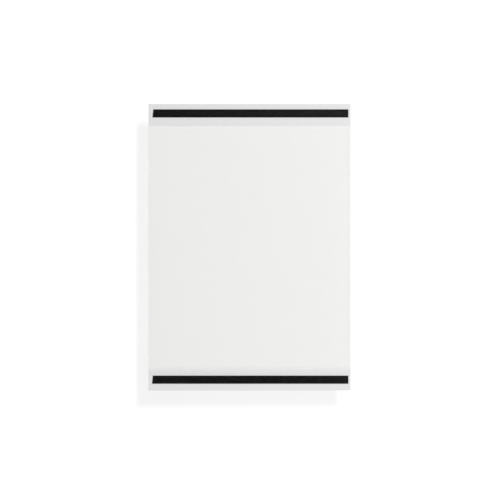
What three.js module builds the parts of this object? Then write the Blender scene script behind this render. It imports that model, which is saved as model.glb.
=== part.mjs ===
// A magnetic document pocket for a steel door, rack or board: a clear rear sheet, a shorter front sheet
// welded to it along both sides and the foot, and two flexible magnet strips taped across the back.
// Millimetres, +Z up. The front faces -Y. The strips' bare rear faces lie in the plane y = 0, and the
// origin is on the top strip at mid height, on the centre line of the pocket.
import * as THREE from 'three';

// The upright document, the room around it, and how far it stands out of the mouth to be gripped
const DOCUMENT_WIDTH = 210;
const DOCUMENT_HEIGHT = 297;
const SIDE_ROOM = 10;
const HEAD_ROOM = 0.3;
const DOCUMENT_GAP = 0.6;
const DOCUMENT_GRIP = 9.4;

// Films
const REAR_SHEET_THICKNESS = 0.3;
const FRONT_SHEET_THICKNESS = 0.2;
const CORNER_RADIUS = 1;

// Weld seams, and the film left outside each side weld
const SIDE_WELD_WIDTH = 2.1;
const BOTTOM_WELD_WIDTH = 2.6;
const WELD_MARGIN = 0.4;

// Magnet strips: their section, their places on the rear sheet and the lean of the cut at the left end
const STRIP_WIDTH = 9.5;
const STRIP_THICKNESS = 1;
const STRIP_EDGE_RADIUS = 0.15;
const TOP_STRIP_LEFT_INSET = 5.1;
const BOTTOM_STRIP_LEFT_INSET = 4.6;
const STRIP_RIGHT_INSET = 2.5;
const STRIP_LEFT_LEAN = 0.95;
const TOP_STRIP_INSET = 6.1;
const BOTTOM_STRIP_INSET = 7.7;
const STRIP_TO_WELD = 0.3;

// Adhesive tape behind the rear sheet, set in from the flat face of its strip
const TAPE_THICKNESS = 0.1;
const TAPE_MARGIN = 0.25;

// Facets on the round stretches
const CORNER_STEPS = 6;
const BEAD_STEPS = 8;
const STRIP_EDGE_STEPS = 3;

// Heights, counted from the middle of the top strip down to the foot of the rear sheet
const sheetTop = STRIP_WIDTH / 2 + TOP_STRIP_INSET;
const documentTop = -STRIP_WIDTH / 2 - HEAD_ROOM;
const mouth = documentTop - DOCUMENT_GRIP;
const documentFoot = documentTop - DOCUMENT_HEIGHT;
const frontFoot = documentFoot - BOTTOM_WELD_WIDTH;
const bottomStripMiddle = frontFoot - STRIP_TO_WELD - STRIP_WIDTH / 2;
const sheetFoot = bottomStripMiddle - STRIP_WIDTH / 2 - BOTTOM_STRIP_INSET;

// Half widths from the centre line: the document space, then the sheets' edge
const spaceHalf = DOCUMENT_WIDTH / 2 + SIDE_ROOM;
const sheetHalf = spaceHalf + SIDE_WELD_WIDTH + WELD_MARGIN;

// Depths of each layer's rear face in front of the steel surface
const tapeDepth = STRIP_THICKNESS;
const rearSheetDepth = tapeDepth + TAPE_THICKNESS;
const weldDepth = rearSheetDepth + REAR_SHEET_THICKNESS;
const frontSheetDepth = weldDepth + DOCUMENT_GAP;

// An upright plate: an outline in X and Z that is given its thickness towards -Y, edges eased if asked
function plate(outline, thickness, edgeRadius = 0) {
  const geometry = new THREE.ExtrudeGeometry(outline, {
    depth: thickness - 2 * edgeRadius,
    curveSegments: CORNER_STEPS,
    bevelEnabled: edgeRadius > 0,
    bevelThickness: edgeRadius,
    bevelSize: edgeRadius,
    bevelOffset: -edgeRadius,
    bevelSegments: STRIP_EDGE_STEPS,
  });
  return geometry.translate(0, 0, edgeRadius).rotateX(Math.PI / 2);
}

// A sheet's outline, with rounded corners at its head and, on the rear sheet only, at its foot
function sheetOutline(foot, head, footRadius) {
  const headX = sheetHalf - CORNER_RADIUS;
  const headZ = head - CORNER_RADIUS;
  const footX = sheetHalf - footRadius;
  const footZ = foot + footRadius;
  const quarter = Math.PI / 2;
  const outline = new THREE.Shape();
  outline.moveTo(sheetHalf, footZ);
  outline.lineTo(sheetHalf, headZ);
  outline.absarc(headX, headZ, CORNER_RADIUS, 0, quarter);
  outline.absarc(-headX, headZ, CORNER_RADIUS, quarter, 2 * quarter);
  if (footRadius > 0) {
    outline.absarc(-footX, footZ, footRadius, 2 * quarter, 3 * quarter);
    outline.absarc(footX, footZ, footRadius, 3 * quarter, 4 * quarter);
  } else {
    outline.lineTo(-sheetHalf, foot);
  }
  outline.closePath();
  return outline;
}

// A strip's outline about its mid height, drawn in by an inset for the tape behind it
function stripOutline(leftInset, inset) {
  const left = leftInset - sheetHalf + inset;
  const right = sheetHalf - STRIP_RIGHT_INSET - inset;
  const half = STRIP_WIDTH / 2 - inset;
  const outline = new THREE.Shape();
  outline.moveTo(left - STRIP_LEFT_LEAN / 2, -half);
  outline.lineTo(right, -half);
  outline.lineTo(right, half);
  outline.lineTo(left + STRIP_LEFT_LEAN / 2, half);
  outline.closePath();
  return outline;
}

// A weld bead: fused film across the document gap, flat against both sheets, with a round inner edge.
// The profile runs along +X from the outer edge, and the bead is drawn out along +Z.
function weldBead(width, length) {
  const round = DOCUMENT_GAP / 2;
  const profile = new THREE.Shape();
  profile.moveTo(0, 0);
  profile.lineTo(0, -DOCUMENT_GAP);
  profile.absarc(width - round, -round, round, -Math.PI / 2, Math.PI / 2);
  profile.closePath();
  return new THREE.ExtrudeGeometry(profile, {
    depth: length,
    curveSegments: BEAD_STEPS,
    bevelEnabled: false,
  });
}

function clearFilm(color, opacity, roughness) {
  return new THREE.MeshStandardMaterial({ color, opacity, roughness, metalness: 0, transparent: true });
}

function magnetRubber() {
  return new THREE.MeshStandardMaterial({ color: 0x18181a, roughness: 0.55, metalness: 0 });
}

function piece(name, geometry, material, depth) {
  const mesh = new THREE.Mesh(geometry, material);
  mesh.name = name;
  mesh.position.y = -depth;
  return mesh;
}

function rearSheet() {
  const outline = sheetOutline(sheetFoot, sheetTop, CORNER_RADIUS);
  const film = clearFilm(0xe6e8e9, 0.3, 0.15);
  return piece('rear_sheet', plate(outline, REAR_SHEET_THICKNESS), film, rearSheetDepth);
}

function frontSheet() {
  const outline = sheetOutline(frontFoot, mouth, 0);
  const film = clearFilm(0xf2f2ee, 0.4, 0.4);
  return piece('front_sheet', plate(outline, FRONT_SHEET_THICKNESS), film, frontSheetDepth);
}

// Side welds run from the front sheet's foot to where its head corners begin to round
function sideWeld(name, side) {
  const length = mouth - CORNER_RADIUS - frontFoot;
  const bead = weldBead(SIDE_WELD_WIDTH, length);
  const mesh = piece(name, bead, clearFilm(0xe0e1e1, 0.45, 0.3), weldDepth);
  if (side > 0) bead.rotateZ(Math.PI).translate(0, -DOCUMENT_GAP, 0);
  mesh.position.x = side * (spaceHalf + SIDE_WELD_WIDTH);
  mesh.position.z = frontFoot;
  return mesh;
}

// The bottom weld lies between the side welds, with its round edge up, where the document stands
function bottomWeld() {
  const bead = weldBead(BOTTOM_WELD_WIDTH, 2 * spaceHalf);
  bead.rotateY(-Math.PI / 2);
  const mesh = piece('bottom_weld', bead, clearFilm(0xe0e1e1, 0.45, 0.3), weldDepth);
  mesh.position.x = spaceHalf;
  mesh.position.z = frontFoot;
  return mesh;
}

// One magnet strip with the tape that holds it to the rear sheet
function magnet(place, middle, leftInset) {
  const group = new THREE.Group();
  const tapeInset = STRIP_EDGE_RADIUS + TAPE_MARGIN;
  const strip = plate(stripOutline(leftInset, 0), STRIP_THICKNESS, STRIP_EDGE_RADIUS);
  const tape = plate(stripOutline(leftInset, tapeInset), TAPE_THICKNESS);
  group.add(piece(`${place}_magnet_strip`, strip, magnetRubber(), 0));
  group.add(piece(`${place}_strip_tape`, tape, clearFilm(0xf4f3ec, 0.35, 0.35), tapeDepth));
  group.position.z = middle;
  return group;
}

const pocket = new THREE.Group();
pocket.add(rearSheet(), frontSheet());
pocket.add(sideWeld('left_weld', -1), sideWeld('right_weld', 1), bottomWeld());
pocket.add(magnet('top', 0, TOP_STRIP_LEFT_INSET));
pocket.add(magnet('bottom', bottomStripMiddle, BOTTOM_STRIP_LEFT_INSET));

export default pocket;
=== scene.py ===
import math

import bpy
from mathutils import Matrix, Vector


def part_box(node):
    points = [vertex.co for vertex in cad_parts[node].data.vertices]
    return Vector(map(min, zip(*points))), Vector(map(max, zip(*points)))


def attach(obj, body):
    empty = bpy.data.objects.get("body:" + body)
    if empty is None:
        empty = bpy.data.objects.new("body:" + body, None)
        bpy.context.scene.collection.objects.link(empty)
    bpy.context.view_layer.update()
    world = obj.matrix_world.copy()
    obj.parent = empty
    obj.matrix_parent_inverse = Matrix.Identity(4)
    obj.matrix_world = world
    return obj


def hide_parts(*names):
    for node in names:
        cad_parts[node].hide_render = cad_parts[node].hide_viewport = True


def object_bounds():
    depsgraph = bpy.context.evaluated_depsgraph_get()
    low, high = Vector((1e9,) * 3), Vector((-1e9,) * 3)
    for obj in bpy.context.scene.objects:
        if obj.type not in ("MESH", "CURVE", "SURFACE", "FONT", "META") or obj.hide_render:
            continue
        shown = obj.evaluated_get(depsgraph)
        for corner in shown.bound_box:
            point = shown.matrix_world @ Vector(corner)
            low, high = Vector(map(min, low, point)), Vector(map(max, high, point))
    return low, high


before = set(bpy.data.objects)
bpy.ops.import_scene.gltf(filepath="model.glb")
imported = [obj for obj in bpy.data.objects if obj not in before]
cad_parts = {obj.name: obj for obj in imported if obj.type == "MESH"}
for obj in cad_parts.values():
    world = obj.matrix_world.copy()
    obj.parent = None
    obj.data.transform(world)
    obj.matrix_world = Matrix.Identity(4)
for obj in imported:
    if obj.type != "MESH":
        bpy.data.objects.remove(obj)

cad_low, cad_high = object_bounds()

# Rear sheet: one piece of clear vinyl film, die cut with barely rounded corners, grey partly of its own and
# partly by painted shade. It makes the pocket's back, the header above the mouth and the footer, and lies
# flat only where a strip holds it.
MM = 0.001
rear_low, rear_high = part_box("rear_sheet")
rear_thickness = rear_high.y - rear_low.y
rear_middle = (rear_high.y + rear_low.y) / 2
top_strip_low, top_strip_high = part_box("top_magnet_strip")
bottom_strip_low, bottom_strip_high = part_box("bottom_magnet_strip")

# The film's grid, its closer lines near the cut edges, and the material slot of the cut
FILM_PITCH = 4 * MM
CUT_RADIUS = 1 * MM
CUT_WIDTH = 0.06 * MM
CUT_LINES = (0, CUT_WIDTH, CUT_RADIUS / 2, CUT_RADIUS)
MARGIN_LINES = (*CUT_LINES, 2 * MM, 3 * MM, 4 * MM, 5 * MM, 6 * MM)
CUT_SLOT = 2

# Slow waves in the free film, the run in which a strip's hold on it ends, and ripples in the header's
# loose margin. A reach is the length across, or across and up, that turns a wave by one radian.
SLOW_WAVE = 0.12 * MM
BROAD_REACH = (31 * MM, 47 * MM)
BROAD_START = 0.7
NARROW_REACH = (17 * MM, 60 * MM)
NARROW_SHARE = 0.6
HELD_EDGE = 1 * MM
HELD_RUN = 14 * MM
MARGIN_RIPPLE = 0.06 * MM
RIPPLE_REACH = 3.1 * MM
RIPPLE_DRIFT = 1.5
DRIFT_REACH = 9 * MM

# Film surfaces: fine grain, patches of handling and drawn haze, as noise cells in a metre
EVEN = (1, 1, 1)
GRAIN_CELLS = 2200
GRAIN_DEPTH = 0.02 * MM
HANDLING_STRETCH = (1.6, 1, 0.5)
HANDLING_CELLS = 14
HAZE_STRETCH = (9, 1, 1.5)
HAZE_CELLS = 6
HAZE_SPREAD = 0.005
HAZE_ROUGHNESS = 0.6
HAZE_GLOSS = 0.2
PLAIN_FACING = 0.5
GRAZING_POWER = 5
NOISE_SPAN = (0.3, 0.7)


def eased(value):
    """0 below 0, 1 above 1, and a smooth step between."""
    value = min(max(value, 0.0), 1.0)
    return value * value * (3 - 2 * value)


def film_lines(low, high, near_low, near_high):
    """Places of the film's grid lines: the given ones near each end, then about a pitch apart."""
    first, last = low + near_low[-1], high - near_high[-1]
    count = max(1, round((last - first) / FILM_PITCH))
    inner = [first + (last - first) * i / count for i in range(1, count)]
    return [low + d for d in near_low] + inner + [high - d for d in reversed(near_high)]


def film_mesh(name, xs, zs, surface, foot_radius):
    """A film's middle surface, its corner squares drawn onto quarter circles, its outer ring as the cut."""
    side = xs[-1] - CUT_RADIUS
    head, foot = zs[-1] - CUT_RADIUS, zs[0] + foot_radius
    points = []
    for z in zs:
        for x in xs:
            across = max(abs(x) - side, 0) / CUT_RADIUS
            up = max(z - head, foot - z, 0) / CUT_RADIUS
            if across > 0 and up > 0:
                x = math.copysign(side + CUT_RADIUS * across * math.sqrt(1 - up**2 / 2), x)
                reach = CUT_RADIUS * up * math.sqrt(1 - across**2 / 2)
                points.append((x, surface(x, z), head + reach if z > head else foot - reach))
            else:
                points.append((x, surface(x, z), z))
    wide, tall = len(xs), len(zs)
    faces = [
        (a, a + 1, a + 1 + wide, a + wide)
        for a in (j * wide + i for j in range(tall - 1) for i in range(wide - 1))
    ]
    mesh = bpy.data.meshes.new(name)
    mesh.from_pydata(points, [], faces)
    for a, face in enumerate(mesh.polygons):
        j, i = divmod(a, wide - 1)
        face.material_index = CUT_SLOT if i in (0, wide - 2) or j in (0, tall - 2) else 0
        face.use_smooth = True
    return mesh


def add_piece(name, mesh, materials):
    for material in materials:
        mesh.materials.append(material)
    piece = bpy.data.objects.new(name, mesh)
    bpy.context.scene.collection.objects.link(piece)
    return piece


def give_thickness(film, thickness):
    """Front face in slot 0, rear face in slot 1, the cut edge in slots 2 and 3."""
    solid = film.modifiers.new("thickness", "SOLIDIFY")
    solid.thickness = thickness
    solid.offset = 0
    solid.material_offset = 1
    solid.material_offset_rim = 1


def new_material(name):
    material = bpy.data.materials.new(name)
    material.use_nodes = True
    material.node_tree.nodes.clear()
    return material, material.node_tree


def add_node(tree, kind, inputs, **settings):
    """A shader node with its settings. Each input is a plain value, or the socket that feeds it."""
    node = tree.nodes.new(kind)
    for key, value in settings.items():
        setattr(node, key, value)
    for socket, value in inputs.items():
        if isinstance(value, bpy.types.NodeSocket):
            tree.links.new(value, node.inputs[socket])
        else:
            node.inputs[socket].default_value = value
    return node


def add_math(tree, operation, *values):
    return add_node(tree, "ShaderNodeMath", dict(enumerate(values)), operation=operation).outputs[0]


def mix_shaders(tree, share, first, second):
    return add_node(tree, "ShaderNodeMixShader", {0: share, 1: first, 2: second}).outputs["Shader"]


def map_range(tree, value, low, high, new_low, new_high):
    """A value that runs from low to high, turned into one that runs from new_low to new_high."""
    inputs = {"Value": value, "From Min": low, "From Max": high, "To Min": new_low, "To Max": new_high}
    return add_node(tree, "ShaderNodeMapRange", inputs).outputs["Result"]


def own_metres(tree):
    """Places on a piece, in its own metres."""
    return add_node(tree, "ShaderNodeTexCoord", {}).outputs["Object"]


def drawn_out_noise(tree, stretch, cells, detail):
    """Noise in the piece's own metres, finer along the axes that the stretch makes large."""
    mapping = add_node(tree, "ShaderNodeMapping", {"Vector": own_metres(tree), "Scale": stretch})
    inputs = {"Vector": mapping.outputs["Vector"], "Scale": cells, "Detail": detail}
    return add_node(tree, "ShaderNodeTexNoise", inputs).outputs["Fac"]


def spread(tree, noise, low, high):
    """Noise, which keeps near its middle, spread over low to high."""
    return map_range(tree, noise, *NOISE_SPAN, low, high)


def fine_relief(tree, cells, detail, strength, depth):
    """The normal of a finely grained surface."""
    height = drawn_out_noise(tree, EVEN, cells, detail)
    inputs = {"Height": height, "Strength": strength, "Distance": depth}
    return add_node(tree, "ShaderNodeBump", inputs).outputs["Normal"]


def show_surface(tree, shader):
    add_node(tree, "ShaderNodeOutputMaterial", {"Surface": shader})


def film_material(name, tint, gloss, roughness, haze, haze_colour, grain, clear_where=None):
    """Film that lets light straight through, mirrors by its angle, and scatters its haze share as white.

    gloss is the share mirrored head on. clear_where names a mesh attribute, 1 where the haze is gone.
    """
    material, tree = new_material(name)
    through = add_node(tree, "ShaderNodeBsdfTransparent", {"Color": tint})
    relief = fine_relief(tree, GRAIN_CELLS, detail=3, strength=grain, depth=GRAIN_DEPTH)
    handling = drawn_out_noise(tree, HANDLING_STRETCH, HANDLING_CELLS, detail=5)
    shine_inputs = {"Normal": relief, "Roughness": spread(tree, handling, *roughness)}
    shine = add_node(tree, "ShaderNodeBsdfGlossy", shine_inputs)
    turned = add_node(tree, "ShaderNodeLayerWeight", {"Blend": PLAIN_FACING})
    grazing = add_math(tree, "POWER", turned.outputs["Facing"], GRAZING_POWER)
    mirrored = add_math(tree, "MULTIPLY_ADD", grazing, 1 - gloss, gloss)
    clear = mix_shaders(tree, mirrored, through.outputs["BSDF"], shine.outputs["BSDF"])
    milk_inputs = {
        "Normal": relief,
        "Base Color": haze_colour,
        "Roughness": HAZE_ROUGHNESS,
        "Specular IOR Level": HAZE_GLOSS,
    }
    milk = add_node(tree, "ShaderNodeBsdfPrincipled", milk_inputs)
    drawn = drawn_out_noise(tree, HAZE_STRETCH, HAZE_CELLS, detail=3)
    share = spread(tree, drawn, haze * (1 - HAZE_SPREAD), haze * (1 + HAZE_SPREAD))
    if clear_where:
        gone = add_node(tree, "ShaderNodeAttribute", {}, attribute_name=clear_where)
        kept = add_math(tree, "SUBTRACT", 1, gone.outputs["Fac"])
        share = add_math(tree, "MULTIPLY", share, kept)
    show_surface(tree, mix_shaders(tree, share, clear, milk.outputs["BSDF"]))
    return material


def rear_lift(x, z):
    """Flat along both strips, with slow waves in the free film and ripples in the header's loose margin."""
    off_top = max(top_strip_low.z - z, z - top_strip_high.z, 0)
    off_bottom = max(bottom_strip_low.z - z, z - bottom_strip_high.z, 0)
    free = eased((min(off_top, off_bottom) - HELD_EDGE) / HELD_RUN)
    broad = math.sin(x / BROAD_REACH[0] + BROAD_START) * math.sin(z / BROAD_REACH[1])
    narrow = math.sin(x / NARROW_REACH[0] + z / NARROW_REACH[1])
    loose = eased((z - top_strip_high.z) / (rear_high.z - top_strip_high.z))
    ripple = math.sin(x / RIPPLE_REACH + RIPPLE_DRIFT * math.sin(x / DRIFT_REACH))
    return SLOW_WAVE * free * (broad + NARROW_SHARE * narrow) + MARGIN_RIPPLE * loose * ripple


# The grey tint is partly the film's own and partly painted shade, for the film's shadow on the plate
# behind.
clear_vinyl = film_material(
    "clear grey vinyl",
    tint=(0.919, 0.92, 0.921, 1),
    gloss=0.028,
    roughness=(0.03, 0.07),
    haze=0.001,
    haze_colour=(0.8, 0.81, 0.82, 1),
    grain=0.1,
)
# The cut edge: rougher and hazier than the film, and its deeper grey is painted shade along the edge.
shaded_cut_vinyl = film_material(
    "cut edge of the vinyl, painted shade",
    tint=(0.908, 0.909, 0.91, 1),
    gloss=0.03,
    roughness=(0.2, 0.3),
    haze=0.004,
    haze_colour=(0.62, 0.63, 0.64, 1),
    grain=0.2,
)
rear_sheet = add_piece(
    "rear_sheet_film",
    film_mesh(
        "rear_sheet_film",
        film_lines(rear_low.x, rear_high.x, CUT_LINES, CUT_LINES),
        film_lines(rear_low.z, rear_high.z, CUT_LINES, MARGIN_LINES),
        lambda x, z: rear_middle + rear_lift(x, z),
        CUT_RADIUS,
    ),
    [clear_vinyl, clear_vinyl, shaded_cut_vinyl, shaded_cut_vinyl],
)
give_thickness(rear_sheet, rear_thickness)
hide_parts("rear_sheet")
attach(rear_sheet, "root")

# Front sheet: a shorter, thinner film with a matt, low glare outer face, so it looks a little milky and
# warm. Its upper edge is the mouth. It hangs clear of the rear sheet and sinks into the seams round it.
# Its haze fades out towards the foot seam, painted shade, and thins towards the mouth edge.
front_low, front_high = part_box("front_sheet")
front_thickness = front_high.y - front_low.y
front_middle = (front_high.y + front_low.y) / 2
seam_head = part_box("bottom_weld")[1].z
seam_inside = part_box("right_weld")[0].x

SEAM_SINK = 0.42 * MM
FOOT_RUN = 9.5 * MM
SIDE_RUN = 14 * MM
MOUTH_BOW = 0.3 * MM
BOW_START = 0.6
FRONT_WAVE = 0.08 * MM
FRONT_REACH = (38 * MM, 52 * MM)
FRONT_STARTS = (2, 1)
# Over the last stretch below the mouth the haze thins by a share, so the film darkens towards its edge.
MOUTH_FADE = 1.5 * MM
MOUTH_FADE_SHARE = 0.6
SIDE_LINES = (*CUT_LINES, 2.5 * MM)
MOUTH_LINES = (*CUT_LINES, MOUTH_FADE, 2.2 * MM)
FOOT_LINES = (0, CUT_WIDTH, *(step * MM for step in range(1, 14)))


def sunk_at_foot(z):
    return 1 - eased((z - seam_head) / FOOT_RUN)


def front_surface(x, z):
    """Bowed a little forward at the mouth, and drawn back to the rear sheet at the foot and both sides."""
    sunk = max(sunk_at_foot(z), 1 - eased((seam_inside - abs(x)) / SIDE_RUN))
    height = (z - front_low.z) / (front_high.z - front_low.z)
    bow = MOUTH_BOW * (1 - (x / front_high.x) ** 2) * eased((height - BOW_START) / (1 - BOW_START))
    across = math.sin(x / FRONT_REACH[0] + FRONT_STARTS[0])
    up = math.sin(z / FRONT_REACH[1] + FRONT_STARTS[1])
    slow = FRONT_WAVE * across * up
    return front_middle + rear_lift(x, z) + SEAM_SINK * sunk - (bow + slow) * (1 - sunk)


front_mesh = film_mesh(
    "front_sheet_film",
    film_lines(front_low.x, front_high.x, SIDE_LINES, SIDE_LINES),
    film_lines(front_low.z, front_high.z, FOOT_LINES, MOUTH_LINES),
    front_surface,
    0,
)
# Where this attribute is 1 the haze is gone: painted shade, darker over the run above the foot seam.
haze_fade = front_mesh.attributes.new("haze_fade", "FLOAT", "POINT")
for vertex in front_mesh.vertices:
    mouth_fade = MOUTH_FADE_SHARE * (1 - eased((front_high.z - vertex.co.z) / MOUTH_FADE))
    haze_fade.data[vertex.index].value = max(sunk_at_foot(vertex.co.z), mouth_fade)
milky_film = film_material(
    "low glare film",
    tint=(0.998, 0.998, 0.996, 1),
    gloss=0.012,
    roughness=(0.31, 0.35),
    haze=0.325,
    haze_colour=(0.97, 0.966, 0.93, 1),
    grain=0.35,
    clear_where="haze_fade",
)
inner_film = film_material(
    "smooth inner face",
    tint=(0.998, 0.998, 0.997, 1),
    gloss=0.01,
    roughness=(0.05, 0.1),
    haze=0.001,
    haze_colour=(0.9, 0.9, 0.89, 1),
    grain=0.1,
)
front_sheet = add_piece("front_sheet_film", front_mesh, [milky_film, inner_film, milky_film, inner_film])
give_thickness(front_sheet, front_thickness)
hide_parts("front_sheet")
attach(front_sheet, "root")

# Weld seams: the two films fused by a heated bar, which leaves fine cross ribs. Two run up the sides to
# the mouth and one lies across above the footer, where the document stands.
RIB_PITCH = 1.5 * MM
RIB_HEIGHT = 0.03 * MM
RIB_STEPS = 4
FILM_CLEARANCE = 0.02 * MM
fused_film = film_material(
    "fused film",
    tint=(0.994, 0.994, 0.994, 1),
    gloss=0.002,
    roughness=(0.12, 0.25),
    haze=0.004,
    haze_colour=(0.82, 0.82, 0.82, 1),
    grain=0.3,
)


def drawn_mesh(name, rings, turned):
    """A closed bar through rings of points, with flat ends. Turned, its faces look the other way."""
    points = [point for ring in rings for point in ring]
    around, last = len(rings[0]), len(points) - len(rings[0])
    faces = [tuple(reversed(range(around))), tuple(range(last, last + around))]
    for first in range(0, last, around):
        for k in range(around):
            a, b = first + k, first + (k + 1) % around
            faces.append((a, b, b + around, a + around))
    if turned:
        faces = [face[::-1] for face in faces]
    mesh = bpy.data.meshes.new(name)
    mesh.from_pydata(points, [], faces)
    return mesh


def seam_mesh(name, low, high, along_x):
    """A ribbed ribbon that fills what is left between the films, with its length along X or Z."""
    start, end = (low.x, high.x) if along_x else (low.z, high.z)
    near, far = (low.z, high.z) if along_x else (low.x, high.x)
    rear_face = rear_low.y - FILM_CLEARANCE
    front_face = front_middle + SEAM_SINK + front_thickness / 2 + FILM_CLEARANCE + RIB_HEIGHT
    steps = round((end - start) * RIB_STEPS / RIB_PITCH)
    rings = []
    for i in range(steps + 1):
        at = start + (end - start) * i / steps
        ribbed_face = front_face + RIB_HEIGHT * math.cos(2 * math.pi * (at - start) / RIB_PITCH)
        ring = []
        for across, y in ((near, rear_face), (far, rear_face), (far, ribbed_face), (near, ribbed_face)):
            x, z = (at, across) if along_x else (across, at)
            ring.append((x, y + rear_lift(x, z), z))
        rings.append(ring)
    return drawn_mesh(name, rings, turned=not along_x)


for weld, along_x in (("left_weld", False), ("right_weld", False), ("bottom_weld", True)):
    seam = add_piece(f"{weld}_seam", seam_mesh(f"{weld}_seam", *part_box(weld), along_x), [fused_film])
    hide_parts(weld)
    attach(seam, "root")

# Strip tape: clear acrylic adhesive that bonds each strip to the back of the rear sheet. It is a little
# smaller than its strip and shows only as a faint change of gloss on the black.
clear_acrylic = film_material(
    "clear acrylic adhesive",
    tint=(0.99, 0.99, 0.985, 1),
    gloss=0.001,
    roughness=(0.2, 0.35),
    haze=0.001,
    haze_colour=(0.7, 0.7, 0.68, 1),
    grain=0.2,
)
for place in ("top", "bottom"):
    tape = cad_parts[f"{place}_strip_tape"]
    tape.data.materials.clear()
    tape.data.materials.append(clear_acrylic)

# Magnet strips: black flexible magnet, rubber filled with ferrite and calendered, so its satin faces
# carry fine streaks along the length. Each is cut from a reel, with its left end at a slight lean.
STRIP_EDGE = 0.06 * MM
EDGE_TURNS = (0, 30, 60, 90)
STRIP_LEAN = 0.95 * MM
STRIP_STEPS = 56
STREAK_STRETCH = (1, 40, 90)
STREAK_CELLS = 12
DARK_STREAK = (0.0026, 0.0026, 0.0032, 1)
PALE_STREAK = (0.0068, 0.0068, 0.008, 1)
STREAK_SPAN = (0.3, 0.75)
SATIN_ROUGHNESS = (0.42, 0.6)
SATIN_GLOSS = 0.07
FERRITE_CELLS = 2600
FERRITE_RELIEF = 0.25
FERRITE_DEPTH = 0.03 * MM


def magnet_material():
    material, tree = new_material("black flexible magnet")
    streaks = drawn_out_noise(tree, STREAK_STRETCH, STREAK_CELLS, detail=6)
    tone = add_node(tree, "ShaderNodeValToRGB", {"Fac": streaks})
    for element, position, colour in zip(tone.color_ramp.elements, STREAK_SPAN, (DARK_STREAK, PALE_STREAK)):
        element.position = position
        element.color = colour
    relief = fine_relief(tree, FERRITE_CELLS, detail=4, strength=FERRITE_RELIEF, depth=FERRITE_DEPTH)
    satin_inputs = {
        "Base Color": tone.outputs["Color"],
        "Normal": relief,
        "Roughness": spread(tree, streaks, *SATIN_ROUGHNESS),
        "Specular IOR Level": SATIN_GLOSS,
    }
    show_surface(tree, add_node(tree, "ShaderNodeBsdfPrincipled", satin_inputs).outputs["BSDF"])
    return material


def strip_mesh(name, low, high):
    """A flat bar with eased long edges, drawn out along X, its left end leaning in towards the top."""
    half = (high.z - low.z) / 2
    section = []
    for side_z, side_y, start in ((1, 1, 0), (-1, 1, 90), (-1, -1, 180), (1, -1, 270)):
        corner_z = side_z * (half - STRIP_EDGE)
        corner_y = (high.y if side_y > 0 else low.y) - side_y * STRIP_EDGE
        for turn in EDGE_TURNS:
            angle = math.radians(start + turn)
            dz = corner_z + STRIP_EDGE * math.cos(angle)
            y = corner_y + STRIP_EDGE * math.sin(angle)
            section.append((dz, y))
    rings = []
    for i in range(STRIP_STEPS + 1):
        ring = []
        for dz, y in section:
            left = low.x + STRIP_LEAN * (dz + half) / (2 * half)
            ring.append((left + (high.x - left) * i / STRIP_STEPS, y, low.z + half + dz))
        rings.append(ring)
    return drawn_mesh(name, rings, turned=True)


magnet_rubber = magnet_material()
for place in ("top", "bottom"):
    name = f"{place}_strip_magnet"
    strip = add_piece(name, strip_mesh(name, *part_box(f"{place}_magnet_strip")), [magnet_rubber])
    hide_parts(f"{place}_magnet_strip")
    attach(strip, "root")

# Stage: a white steel plate that the strips hold on to, a white wall behind it that takes the soft
# shadow, and a pale floor. Plate and wall have no back, so the pocket is seen from behind too.
# The glow of plate and wall rises towards the right: painted light, on the key lamp's side.
PLATE_GAP = 0.05 * MM
PLATE_INSET = 0.05 * MM
WALL_GAP = 16 * MM
FLOOR_DROP = 0.8
STAGE_HALF_WIDTH = 2
STAGE_HALF_DEPTH = 2.5
WALL_HEAD = 2


def seen_rays(tree):
    """1 for rays from the eye, and for what gloss and glass show, else 0."""
    path = add_node(tree, "ShaderNodeLightPath", {}).outputs
    shiny = add_math(tree, "MAXIMUM", path["Is Glossy Ray"], path["Is Transmission Ray"])
    return add_math(tree, "MAXIMUM", path["Is Camera Ray"], shiny)


def stage_white(name, lit, glow_left, glow_right, one_sided):
    """White that is partly lit, so that it keeps shadows, and partly plain white to the eye.

    One sided, it is clear to the eye and to lamps from behind, and still shades what is behind it.
    """
    material, tree = new_material(name)
    paint = add_node(tree, "ShaderNodeBsdfDiffuse", {"Color": (lit, lit, lit, 1)})
    along = add_node(tree, "ShaderNodeSeparateXYZ", {"Vector": own_metres(tree)})
    # Where glow_left and glow_right differ, the glow is painted light, brighter towards the right.
    glow = map_range(tree, along.outputs["X"], cad_low.x, cad_high.x, glow_left, glow_right)
    strength = add_math(tree, "MULTIPLY", seen_rays(tree), glow)
    white = add_node(tree, "ShaderNodeEmission", {"Strength": strength})
    both = {0: paint.outputs["BSDF"], 1: white.outputs["Emission"]}
    shown = add_node(tree, "ShaderNodeAddShader", both).outputs["Shader"]
    if one_sided:
        side = add_node(tree, "ShaderNodeNewGeometry", {}).outputs["Backfacing"]
        shadow_ray = add_node(tree, "ShaderNodeLightPath", {}).outputs["Is Shadow Ray"]
        gone = add_math(tree, "ABSOLUTE", add_math(tree, "SUBTRACT", side, shadow_ray))
        nothing = add_node(tree, "ShaderNodeBsdfTransparent", {})
        shown = mix_shaders(tree, gone, shown, nothing.outputs["BSDF"])
    show_surface(tree, shown)
    return material


def stage_plane(name, corners, material):
    mesh = bpy.data.meshes.new(name)
    mesh.from_pydata(corners, [], [(0, 1, 2, 3)])
    plane = add_piece(name, mesh, [material])
    return plane


def upright(low_x, high_x, low_z, high_z, y):
    return [(low_x, y, low_z), (high_x, y, low_z), (high_x, y, high_z), (low_x, y, high_z)]


def level(half_width, half_depth, z):
    signs = ((-1, -1), (1, -1), (1, 1), (-1, 1))
    return [(side * half_width, end * half_depth, z) for side, end in signs]


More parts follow.
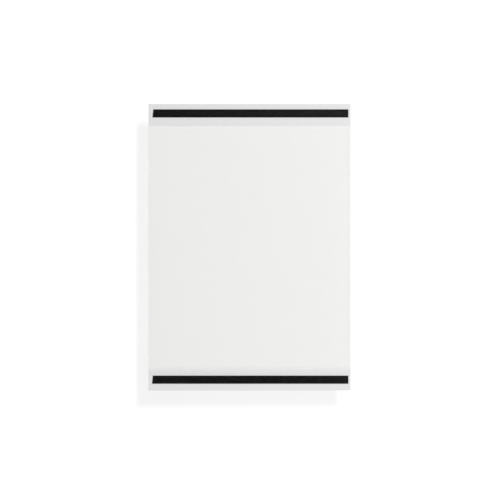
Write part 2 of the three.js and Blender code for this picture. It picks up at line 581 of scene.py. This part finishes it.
floor_z = cad_low.z - FLOOR_DROP
plate_left, plate_right = cad_low.x + PLATE_INSET, cad_high.x - PLATE_INSET
plate_foot, plate_head = cad_low.z + PLATE_INSET, cad_high.z - PLATE_INSET
# The plate's glow rises towards the right: painted light, seen through the film in header and body.
stage_plane(
    "steel_plate",
    upright(plate_left, plate_right, plate_foot, plate_head, cad_high.y + PLATE_GAP),
    stage_white("white steel plate", lit=0.05, glow_left=0.872, glow_right=0.94, one_sided=True),
)
# The wall's glow rises a little towards the right: painted light, so its soft shadow pales to the right.
wall = stage_plane(
    "wall",
    upright(-STAGE_HALF_WIDTH, STAGE_HALF_WIDTH, floor_z, WALL_HEAD, cad_high.y + WALL_GAP),
    stage_white("white wall", lit=0.33, glow_left=0.692, glow_right=0.712, one_sided=True),
)
wall.visible_shadow = False
stage_plane(
    "floor",
    level(STAGE_HALF_WIDTH, STAGE_HALF_DEPTH, floor_z),
    stage_white("pale floor", lit=0.45, glow_left=0.42, glow_right=0.42, one_sided=False),
)

# Light: a soft key lamp from the upper right, a frontal fill that leaves no glint and no shadow, and a lamp
# for the back, in a pale room. A dark card beyond the camera keeps the room's glare off the film. Only
# gloss sees the card, and it glows paler towards its upper right: a painted reflection, which makes the
# strips' sheen paler towards the right.
ROOM_COLOUR = (1, 1, 1, 1)
ROOM_LIGHT = 0.38
ROOM_WHITE = 1.0
CARD_LEFT, CARD_RIGHT = -1.6, 0.5
CARD_DROP, CARD_RISE = 0.9, 0.52
CARD_Y = -2.2
CARD_SLANT = (1, 0, 0.4)
CARD_RUN = (-0.16, 0.7)
CARD_TONES = (0.063, 0.415)
centre = (cad_low + cad_high) / 2


def area_lamp(name, direction, distance, size, power, fill=False):
    """A lamp aimed at the pocket. A fill is kept out of reflections and casts no shadow."""
    data = bpy.data.lights.new(name, "AREA")
    data.shape = "RECTANGLE"
    data.size, data.size_y = size
    data.energy = power
    data.use_shadow = not fill
    lamp = bpy.data.objects.new(name, data)
    bpy.context.scene.collection.objects.link(lamp)
    towards = Vector(direction).normalized()
    lamp.location = centre + towards * distance
    lamp.rotation_euler = (-towards).to_track_quat("-Z", "Y").to_euler()
    lamp.visible_camera = False
    lamp.visible_glossy = not fill


def pale_room():
    """Even soft light on the pocket, and plain white to the eye."""
    world = bpy.data.worlds.new("pale room")
    world.use_nodes = True
    tree = world.node_tree
    tree.nodes.clear()
    soft = add_node(tree, "ShaderNodeBackground", {"Color": ROOM_COLOUR, "Strength": ROOM_LIGHT})
    white = add_node(tree, "ShaderNodeBackground", {"Color": ROOM_COLOUR, "Strength": ROOM_WHITE})
    around = mix_shaders(tree, seen_rays(tree), soft.outputs["Background"], white.outputs["Background"])
    add_node(tree, "ShaderNodeOutputWorld", {"Surface": around})
    return world


def reflection_card_material():
    material, tree = new_material("painted reflection card")
    slant_inputs = {0: own_metres(tree), 1: CARD_SLANT}
    slant = add_node(tree, "ShaderNodeVectorMath", slant_inputs, operation="DOT_PRODUCT")
    # Painted reflection: a glow that only gloss sees, paler towards the upper right.
    tone = map_range(tree, slant.outputs["Value"], *CARD_RUN, *CARD_TONES)
    show_surface(tree, add_node(tree, "ShaderNodeEmission", {"Strength": tone}).outputs["Emission"])
    return material


area_lamp("key_lamp", direction=(0.9, -1.0, 1.3), distance=7.0, size=(0.98, 1.82), power=406)
area_lamp("fill_lamp", direction=(0.1, -1.0, -0.25), distance=2.45, size=(0.9, 0.9), power=12.4, fill=True)
area_lamp("back_lamp", direction=(-0.6, 1.2, 0.8), distance=1.9, size=(0.9, 0.9), power=44)
bpy.context.scene.world = pale_room()
card_corners = upright(CARD_LEFT, CARD_RIGHT, centre.z - CARD_DROP, centre.z + CARD_RISE, CARD_Y)
card = stage_plane("dark_card", card_corners, reflection_card_material())
card.visible_camera = False
card.visible_diffuse = False
card.visible_transmission = False
card.visible_shadow = False

# Camera: square on to the front with a long lens, placed so that the pocket fills the same part of the
# frame as in the photograph.
PHOTO_SIDE = 480
PHOTO_LEFT, PHOTO_RIGHT = 148.4, 350.55
PHOTO_TOP, PHOTO_BOTTOM = 104.0, 390.5
LENS = 100
FILM_CROSSINGS = 32
camera_data = bpy.data.cameras.new("camera")
camera_data.lens = LENS
camera = bpy.data.objects.new("camera", camera_data)
bpy.context.scene.collection.objects.link(camera)
pixel = (cad_high.x - cad_low.x) / (PHOTO_RIGHT - PHOTO_LEFT)
right_of_middle = (PHOTO_LEFT + PHOTO_RIGHT) / 2 - PHOTO_SIDE / 2
below_middle = (PHOTO_TOP + PHOTO_BOTTOM) / 2 - PHOTO_SIDE / 2
distance = pixel * PHOTO_SIDE * LENS / camera_data.sensor_width
camera.location = (
    centre.x - right_of_middle * pixel,
    rear_low.y - distance,
    centre.z + below_middle * pixel,
)
camera.rotation_euler = (math.pi / 2, 0, 0)
bpy.context.scene.camera = camera
bpy.context.scene.view_settings.view_transform = "Standard"
# A ray and its shadow ray cross up to six film faces each, more than the usual limit
bpy.context.scene.cycles.transparent_max_bounces = FILM_CROSSINGS
